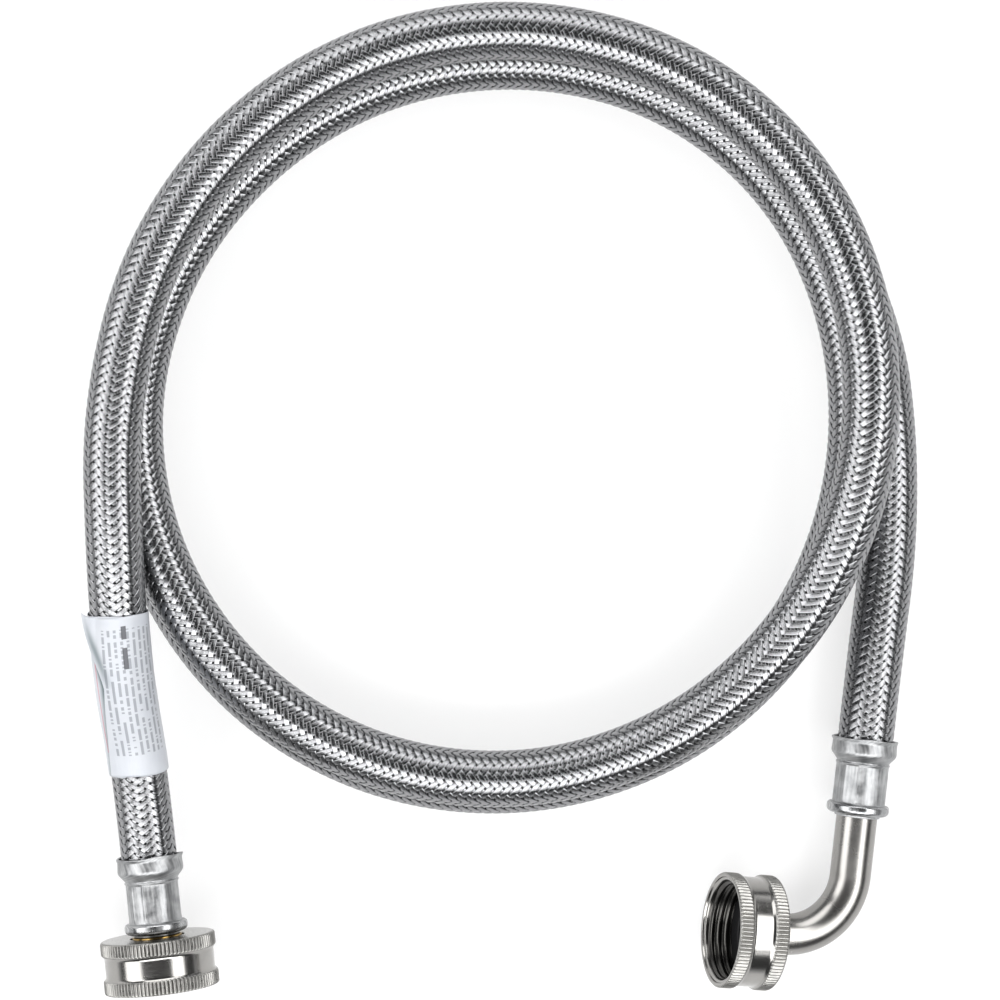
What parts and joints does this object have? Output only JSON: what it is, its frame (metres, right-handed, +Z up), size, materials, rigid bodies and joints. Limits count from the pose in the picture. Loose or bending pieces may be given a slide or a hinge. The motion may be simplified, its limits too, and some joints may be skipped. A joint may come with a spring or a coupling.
{
  "type": "braided supply line",
  "caption": "Flexible water supply hose in a braided steel sleeve, loosely coiled, with a swivel hose nut on each end, one of them on a bent tube elbow.",
  "frame": {"origin": "on the floor, midway between the outermost faces of the two end fittings along X and along Y", "axes": "+X runs from the straight end's side to the elbow end's side, +Y from the fittings towards the coil's middle, +Z up; the coil lies flat on the floor"},
  "size_m": [0.2266, 0.2706, 0.0467],
  "materials": {
    "nut_plating": "polished",
    "washer_rubber": "matte",
    "tailpiece_brass": "satin",
    "ferrule_steel": "satin",
    "tube_plating": "polished",
    "braid_steel": "satin",
    "yarn": "matte",
    "liner_rubber": "matte",
    "label_film": "matte"
  },
  "bodies": {
    "hose_assembly": {"hose_braid": "braid_steel", "hose_yarn": "yarn", "hose_liner": "liner_rubber", "label_wrap": "label_film", "straight_ferrule": "ferrule_steel", "straight_tailpiece": "tailpiece_brass", "elbow_ferrule": "ferrule_steel", "elbow_tube": "tube_plating"},
    "straight_nut_body": {"straight_nut": "nut_plating", "straight_washer": "washer_rubber"},
    "elbow_nut_body": {"elbow_nut": "nut_plating", "elbow_washer": "washer_rubber"}
  },
  "joints": [
    {"name": "straight_nut_swivel", "type": "hinge", "parent": "hose_assembly", "child": "straight_nut_body", "pos_m": [-0.09349, -0.02618, 0.01589], "axis": [0.1045, -0.9942, 0.0262], "continuous": true},
    {"name": "elbow_nut_swivel", "type": "hinge", "parent": "hose_assembly", "child": "elbow_nut_body", "pos_m": [0.06682, -0.01761, 0.01696], "axis": [-0.9562, 0.1073, 0.2723], "continuous": true}
  ]
}
